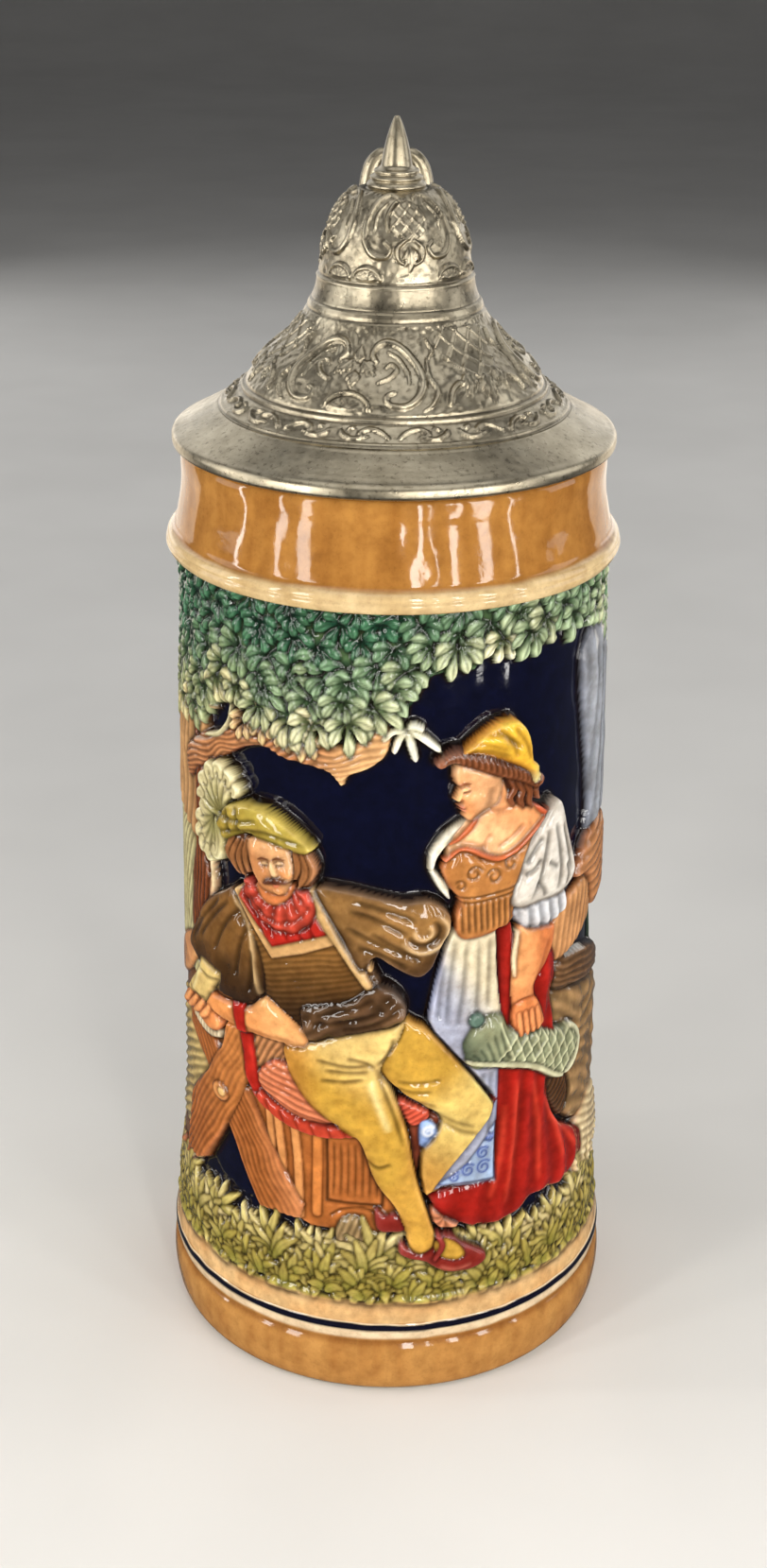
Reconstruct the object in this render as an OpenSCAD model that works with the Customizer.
// Lidded beer stein: a glazed stoneware vessel and handle with a pewter steeple lid.
// +Z is up, the vessel's axis is the Z axis, and the handle and hinge lie towards +Y.

/* [Vessel] */
// Height of the vessel's rim above the table
vessel_h = 217.6; // [205:0.2:230]
// Radius at the widest part of the base band
base_r = 53.8; // [52.5:0.1:56]
// Radius of the bottom edge, where the base band turns under
foot_r = 50.9; // [49:0.1:52]
// Height of the base band
base_h = 17; // [14:0.5:22]
// Radius of the drum just above the base band
drum_low_r = 51.4; // [50.5:0.1:52.5]
// Radius of the drum under the shoulder ring
drum_top_r = 46.9; // [46.2:0.1:48]
// Radius of the rounded shoulder ring
ring_r = 50.4; // [49:0.1:52]
// Outer radius at the rim
rim_r = 46.6; // [45.8:0.1:47.5]
// Radius of the inside at the rim
mouth_r = 41.5; // [41.2:0.1:42.2]
// Radius of the inside near the floor
floor_r = 44; // [42:0.1:45]
// Height of the inside floor
floor_z = 11; // [8:0.5:16]

/* [Handle] */
// Width of the handle's upper arm across X
handle_w = 21; // [16:0.5:22]
// Thickness of the handle's upper arm
handle_t = 13; // [10:0.5:13]
// Height of the middle of the handle's level upper arm
handle_z = 183; // [180:0.5:184]
// Size of the handle's lower end against its upper arm
handle_taper = 0.78; // [0.6:0.02:1]

/* [Lid] */
// Radius of the lid's brim
lid_r = 48.5; // [47.8:0.1:49]
// Gap between the vessel's rim and the closed lid
lid_gap = 0.2; // [0.1:0.05:0.4]
// Height of the lid's locating flange below the brim
flange_h = 5.2; // [3:0.1:6]
// Height of the steeple above the brim's underside
steeple_h = 68.2; // [62:0.2:74]

/* [Hinge] */
// Distance of the hinge line behind the vessel's axis
hinge_y = 58.5; // [57.5:0.1:60]
// Radius of the hinge knuckles
knuckle_r = 4.2; // [3.6:0.1:4.6]
// Radius of the hinge pin
pin_r = 1.5; // [1.2:0.1:1.8]
// Radial clearance of the turning knuckles on the pin
pin_clearance = 0.06; // [0.03:0.01:0.1]
// Height of the thumblift above the hinge line
thumblift_h = 52.5; // [40:0.5:55]

/* [Hidden] */
$fn = 96;

stoneware = "#c98a3c";
pewter = "#a09c92";
steel = "#8a8d90";

// Heights on the vessel
ring_z = vessel_h - 22;          // middle of the shoulder ring
ring_half = 6.5;                 // half the ring's height

// Lid levels, from the underside of the brim
lid_z = vessel_h + lid_gap;
brim_edge = 2.2;                 // height of the brim's upright edge
skirt_z = lid_z + 0.116 * steeple_h;
skirt_top_z = lid_z + 0.186 * steeple_h;
waist_z = lid_z + 0.449 * steeple_h;
band_top_z = lid_z + 0.520 * steeple_h;
crown_z = lid_z + 0.789 * steeple_h;
tip_z = lid_z + steeple_h;
flange_r = mouth_r - 0.7;
wall = 1.6;                      // thickness of the pewter

// Hinge
hinge_z = lid_z + 1.7;
fixed_in = 2.2;                  // the two fixed knuckles reach from here
fixed_out = 5.0;                 // to here, each side of the middle
side_gap = 0.2;                  // between neighbouring knuckles
hinge_half = 8;                  // half the hinge's width
saddle_z = lid_z + 7.4;          // level top of the shank, which carries the thumblift
crest_lean = 4;                  // backward lean of the thumblift, in degrees
swing_gap = 0.35;                // room round a knuckle that turns past another part

// Handle route: a level arm, a quarter bend, a long bow and a tight return to the wall.
// Each entry is [y, z, angle], where the angle is that of the outward side above +Y.
arm_end_y = 65;
bend_r = 21;
bow_r = 150;
bow_angle = 27;
return_r = 42;
return_angle = 46;
bow_y = arm_end_y + bend_r - bow_r;
bow_z = handle_z - bend_r;
return_y = bow_y + (bow_r - return_r) * cos(bow_angle);
return_z = bow_z - (bow_r - return_r) * sin(bow_angle);
route = concat(
    [[44, handle_z, 90]],
    arc(arm_end_y, bow_z, bend_r, 90, 0, 10),
    arc(bow_y, bow_z, bow_r, -3, -bow_angle, 8),
    arc(return_y, return_z, return_r, -bow_angle - 6, -bow_angle - return_angle, 7)
);
route_end = len(route) - 1;
// The handle's size at step i, as a share of its upper arm's
function taper(i) = 1 - (1 - handle_taper) * i / route_end;
// Points along an arc about y, z, from angle a0 to a1 in n steps
function arc(y, z, r, a0, a1, n) =
    [for (i = [0:n]) let (a = a0 + (a1 - a0) * i / n) [y + r * cos(a), z + r * sin(a), a]];

// Strap
strap_t = 1.6;                   // thickness of the band round the handle
strap_y = hinge_y - 3;           // front face of the band
strap_len = 8;                   // length of the band along the handle
tongue_t = 5.4;                  // thickness of the upright tongue

// A cylinder along X whose middle is at x, y, z
module bar_x(r, len, x, y, z) {
    translate([x, y, z]) rotate([0, 90, 0]) cylinder(r = r, h = len, center = true);
}

// A stadium, w wide and t thick, lying across the 2D x axis
module stadium(w, t, sides = $fn) {
    square([w - t, t], center = true);
    for (side = [-1, 1]) translate([side * (w - t) / 2, 0]) circle(d = t, $fn = sides);
}

// A thin slice across the handle at one point of its route
module slice(point, scale_by) {
    translate([0, point[0], point[1]]) rotate([point[2], 0, 0])
        linear_extrude(height = 0.02, center = true)
            stadium(handle_w * scale_by, handle_t * scale_by, 32);
}

// A length of the handle's section, lying level along Y
module level(y0, y1, z, w, t) {
    translate([0, y1, z]) rotate([90, 0, 0]) linear_extrude(height = y1 - y0) stadium(w, t);
}

// The vessel's outline from the foot to the rim, as [radius, height]
outline = [
    // foot and base band
    [foot_r, 0], [foot_r + 1.6, 1.8], [base_r - 0.5, 4.5], [base_r, 9],
    [base_r - 0.5, base_h - 2], [base_r - 1.0, base_h], [base_r - 0.6, base_h + 2],
    // drum
    [drum_low_r + 0.8, base_h + 11], [drum_low_r - 0.6, base_h + 20], [48.6, base_h + 43],
    [drum_top_r, ring_z - ring_half - 2],
    // shoulder ring
    [drum_top_r + 0.9, ring_z - ring_half], [ring_r - 0.7, ring_z - 3], [ring_r, ring_z],
    [ring_r - 0.7, ring_z + 2.4], [ring_r - 2.4, ring_z + 4.6],
    // neck band up to the rim
    [rim_r + 0.9, ring_z + 7.5], [rim_r, ring_z + 14], [rim_r, vessel_h - 1.2],
    [rim_r - 1.2, vessel_h]
];

module vessel() {
    color(stoneware) rotate_extrude() polygon(concat(
        [[0, 0]],
        outline,
        // inside
        [[mouth_r + 0.9, vessel_h], [mouth_r, vessel_h - 1], [mouth_r, vessel_h - 12],
         [floor_r, floor_z + 8], [floor_r - 2.4, floor_z + 2.4], [floor_r - 8, floor_z],
         [0, floor_z]]
    ));
}

module handle() {
    color(stoneware) difference() {
        for (i = [0:route_end - 1]) hull() {
            slice(route[i], taper(i));
            slice(route[i + 1], taper(i + 1));
        }
        // the ends sit on the vessel's wall
        rotate_extrude($fn = 180) polygon(concat(
            [[0, 0]], [for (point = outline) point + [0.02, 0]], [[0, vessel_h]]
        ));
    }
}

module knuckles(from, to, r) {
    for (side = [-1, 1]) bar_x(r, to - from, side * (from + to) / 2, hinge_y, hinge_z);
}

module strap() {
    band_top = handle_z + handle_t / 2 + strap_t;
    color(pewter) difference() {
        union() {
            level(strap_y, strap_y + strap_len, handle_z, handle_w + 2 * strap_t,
                  handle_t + 2 * strap_t);
            // the tongue, standing on the band
            translate([0, hinge_y + tongue_t / 2, 0]) rotate([90, 0, 0])
                linear_extrude(height = tongue_t) polygon([
                    [-7, band_top - 2], [7, band_top - 2], [4.6, band_top + 8],
                    [hinge_half - 1, hinge_z - 7], [fixed_out, hinge_z], [-fixed_out, hinge_z],
                    [-hinge_half + 1, hinge_z - 7], [-4.6, band_top + 8]
                ]);
            knuckles(fixed_in, fixed_out, knuckle_r);
        }
        // the handle fills the band, but for a thin bed of filler
        level(strap_y - 1, strap_y + strap_len + 1, handle_z, handle_w + 0.3, handle_t + 0.3);
        // room for the lid's knuckles
        bar_x(knuckle_r + swing_gap, 2 * fixed_in, 0, hinge_y, hinge_z);
        knuckles(fixed_out, hinge_half + 1, knuckle_r + swing_gap);
        bar_x(pin_r, 2 * hinge_half + 4, 0, hinge_y, hinge_z);
    }
}

module hinge_pin() {
    color(steel) bar_x(pin_r, 2 * hinge_half + 0.6, 0, hinge_y, hinge_z);
}

module pin_caps() {
    cap_t = 1.3;
    color(pewter) for (side = [-1, 1])
        translate([side * (hinge_half + 0.3), hinge_y, hinge_z]) rotate([0, side * 90, 0])
            rotate_extrude() polygon([
                [0, 0], [2.9, 0], [2.9, 0.5], [2.3, cap_t - 0.2], [1.2, cap_t], [0, cap_t]
            ]);
}

// The brim's upper surface, from its bottom edge in to the foot of the cone
brim_top = [
    [lid_r, lid_z], [lid_r, lid_z + brim_edge], [lid_r - 0.8, lid_z + brim_edge + 0.8],
    [38.3, skirt_z]
];

module lid_brim() {
    color(pewter) rotate_extrude() polygon(concat(
        brim_top,
        [[36.7, skirt_z], [39.3, lid_z + 2.6], [flange_r - wall, lid_z],
         [flange_r - wall, lid_z - flange_h], [flange_r, lid_z - flange_h], [flange_r, lid_z]]
    ));
}

module lid_cone() {
    color(pewter) rotate_extrude() polygon([
        [38.3, skirt_z], [32.6, skirt_top_z - 0.4], [32.3, skirt_top_z + 0.5],
        [28.4, skirt_top_z + 5.6], [23.6, skirt_top_z + 9.6], [20.4, skirt_top_z + 13.6],
        [18.3, waist_z], [16.7, waist_z], [18.7, skirt_top_z + 13.2], [21.9, skirt_top_z + 8.8],
        [26.8, skirt_top_z + 4.6], [30.4, skirt_top_z - 0.4], [36.7, skirt_z]
    ]);
}

module lid_bell() {
    color(pewter) rotate_extrude() polygon([
        [18.3, waist_z], [17.5, waist_z + 0.6], [17.3, band_top_z - 0.4], [16.6, band_top_z + 0.4],
        [15.9, band_top_z + 4], [15.2, band_top_z + 7.5], [14, band_top_z + 11],
        [12.5, band_top_z + 14], [10.4, crown_z - 1.8], [8.2, crown_z - 0.3], [6.4, crown_z],
        [0, crown_z], [0, crown_z - wall], [7.6, crown_z - wall - 0.2], [9.2, crown_z - 3.4],
        [11, band_top_z + 13.2], [12.5, band_top_z + 10.4], [13.6, band_top_z + 7.2],
        [14.3, band_top_z + 4], [15.6, band_top_z - 1], [16.7, waist_z]
    ]);
}

module finial() {
    color(pewter) rotate_extrude() polygon([
        [0, crown_z], [5.9, crown_z], [6.0, crown_z + 0.7], [5.4, crown_z + 1.2],
        [5.5, crown_z + 2.1], [4.8, crown_z + 2.6], [4.9, crown_z + 3.3], [3.0, crown_z + 3.8],
        [2.5, crown_z + 7.2], [1.9, crown_z + 9.6], [1.1, crown_z + 12], [0.55, tip_z - 0.3],
        [0, tip_z]
    ]);
}

module lid_shank() {
    color(pewter) difference() {
        union() {
            translate([-hinge_half, 0, 0]) rotate([90, 0, 90])
                linear_extrude(height = 2 * hinge_half) polygon([
                    [42.6, lid_z + 4], [44.6, saddle_z - 0.8], [46.6, saddle_z],
                    [hinge_y - 2.2, saddle_z], [hinge_y - 0.6, hinge_z + 4],
                    [hinge_y - 1.4, hinge_z - 3.6], [lid_r + 1.6, lid_z + 0.3],
                    [lid_r - 1.2, lid_z + 0.6]
                ]);
            bar_x(knuckle_r, 2 * hinge_half, 0, hinge_y, hinge_z);
        }
        // the shank sits on the brim
        rotate_extrude() polygon(concat([[0, lid_z]], brim_top, [[0, skirt_z]]));
        // room for the fixed knuckles
        knuckles(fixed_in - side_gap, fixed_out + side_gap, knuckle_r + swing_gap);
        bar_x(pin_r + pin_clearance, 2 * hinge_half + 4, 0, hinge_y, hinge_z);
    }
}

// One side's outline of the crest, as circles [across, up, radius]; both sides are alike
crest = [
    [3.8, 7.5, 4.4], [2.2, 14.5, 3.2], [1.2, 20, 2.6], [2.6, 26, 3.4],
    [4.6, 32, 4.2], [3.2, 37, 4.6], [1.4, 42, 3.0]
];
// Piercings through the crest, in the same form
piercings = [[3.9, 7.5, 1.7], [4.8, 32, 1.6], [1.9, 37.5, 1.2]];

module both_sides(circles) {
    for (side = [-1, 1], c = circles) translate([side * c[0], c[1]]) circle(r = c[2], $fn = 48);
}

module thumblift() {
    plate_t = 3.2;
    foot_t = 1.8;
    foot_y = hinge_y - 5.6;
    plate_h = hinge_z + thumblift_h - saddle_z - foot_t;
    color(pewter) {
        translate([-5, foot_y - 3.1, saddle_z]) cube([10, 6.2, foot_t]);
        translate([0, foot_y, saddle_z + foot_t]) rotate([90 - crest_lean, 0, 0])
            linear_extrude(height = plate_t, center = true) difference() {
                union() {
                    translate([-4, -0.6]) square([8, 5]);
                    translate([-1.7, 2]) square([3.4, plate_h - 8]);
                    both_sides(crest);
                    translate([0, plate_h - 2.4]) circle(r = 2.4, $fn = 48);
                }
                both_sides(piercings);
            }
    }
}

vessel();
handle();
strap();
hinge_pin();
pin_caps();
lid_brim();
lid_cone();
lid_bell();
finial();
lid_shank();
thumblift();
